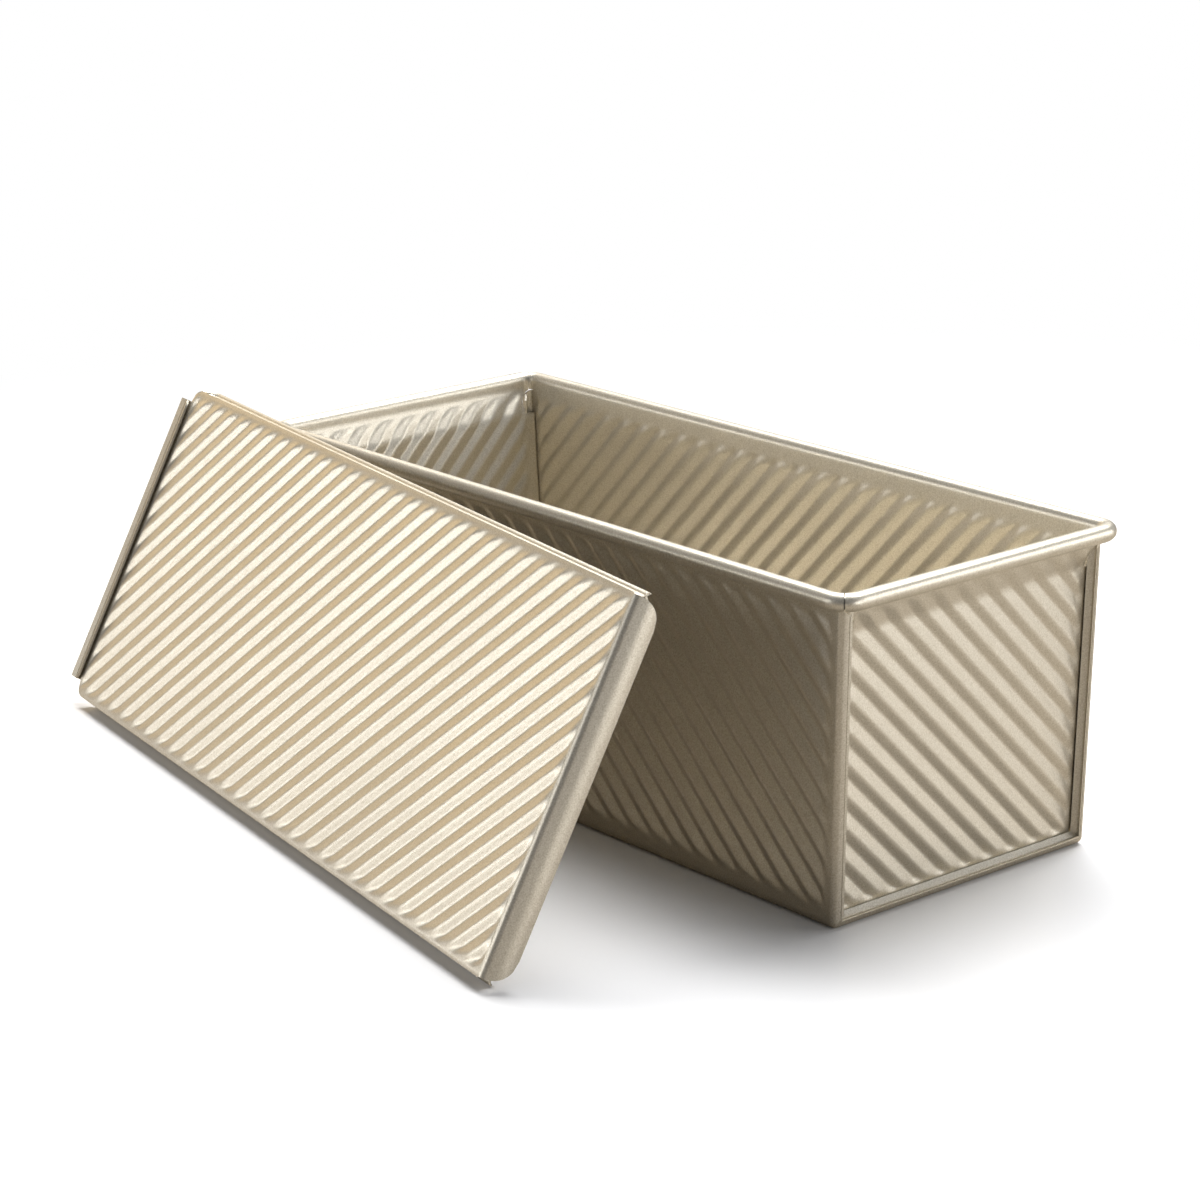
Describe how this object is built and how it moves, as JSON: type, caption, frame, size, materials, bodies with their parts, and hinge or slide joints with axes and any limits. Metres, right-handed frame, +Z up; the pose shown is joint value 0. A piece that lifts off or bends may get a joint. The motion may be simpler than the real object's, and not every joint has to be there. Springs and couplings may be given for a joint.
{
  "type": "pullman loaf pan",
  "caption": "Long straight-sided loaf pan with a sliding lid, diagonal ribs pressed into every panel and a wired rolled rim.",
  "frame": {"origin": "centre of the pan's base, on the surface it stands on", "axes": "+X along the pan to its near end, +Z up; the lid leans on the -Y long side"},
  "size_m": [0.379, 0.2337, 0.1176],
  "materials": {
    "coated_steel": "satin champagne non-stick coating on aluminised steel",
    "lid_steel": "satin champagne non-stick coating with a fine sparkle",
    "steel_wire": "drawn steel wire"
  },
  "bodies": {
    "pan": {"pan_wrap": "coated_steel", "near_end_panel": "coated_steel", "far_end_panel": "coated_steel", "rim_wire": "steel_wire"},
    "lid": {"lid": "lid_steel"}
  },
  "joints": [
    {"name": "lid_slide", "type": "slide", "parent": "pan", "child": "lid", "axis": [0.9871, -0.1599, 0], "range_m": [0, 0.4]}
  ]
}
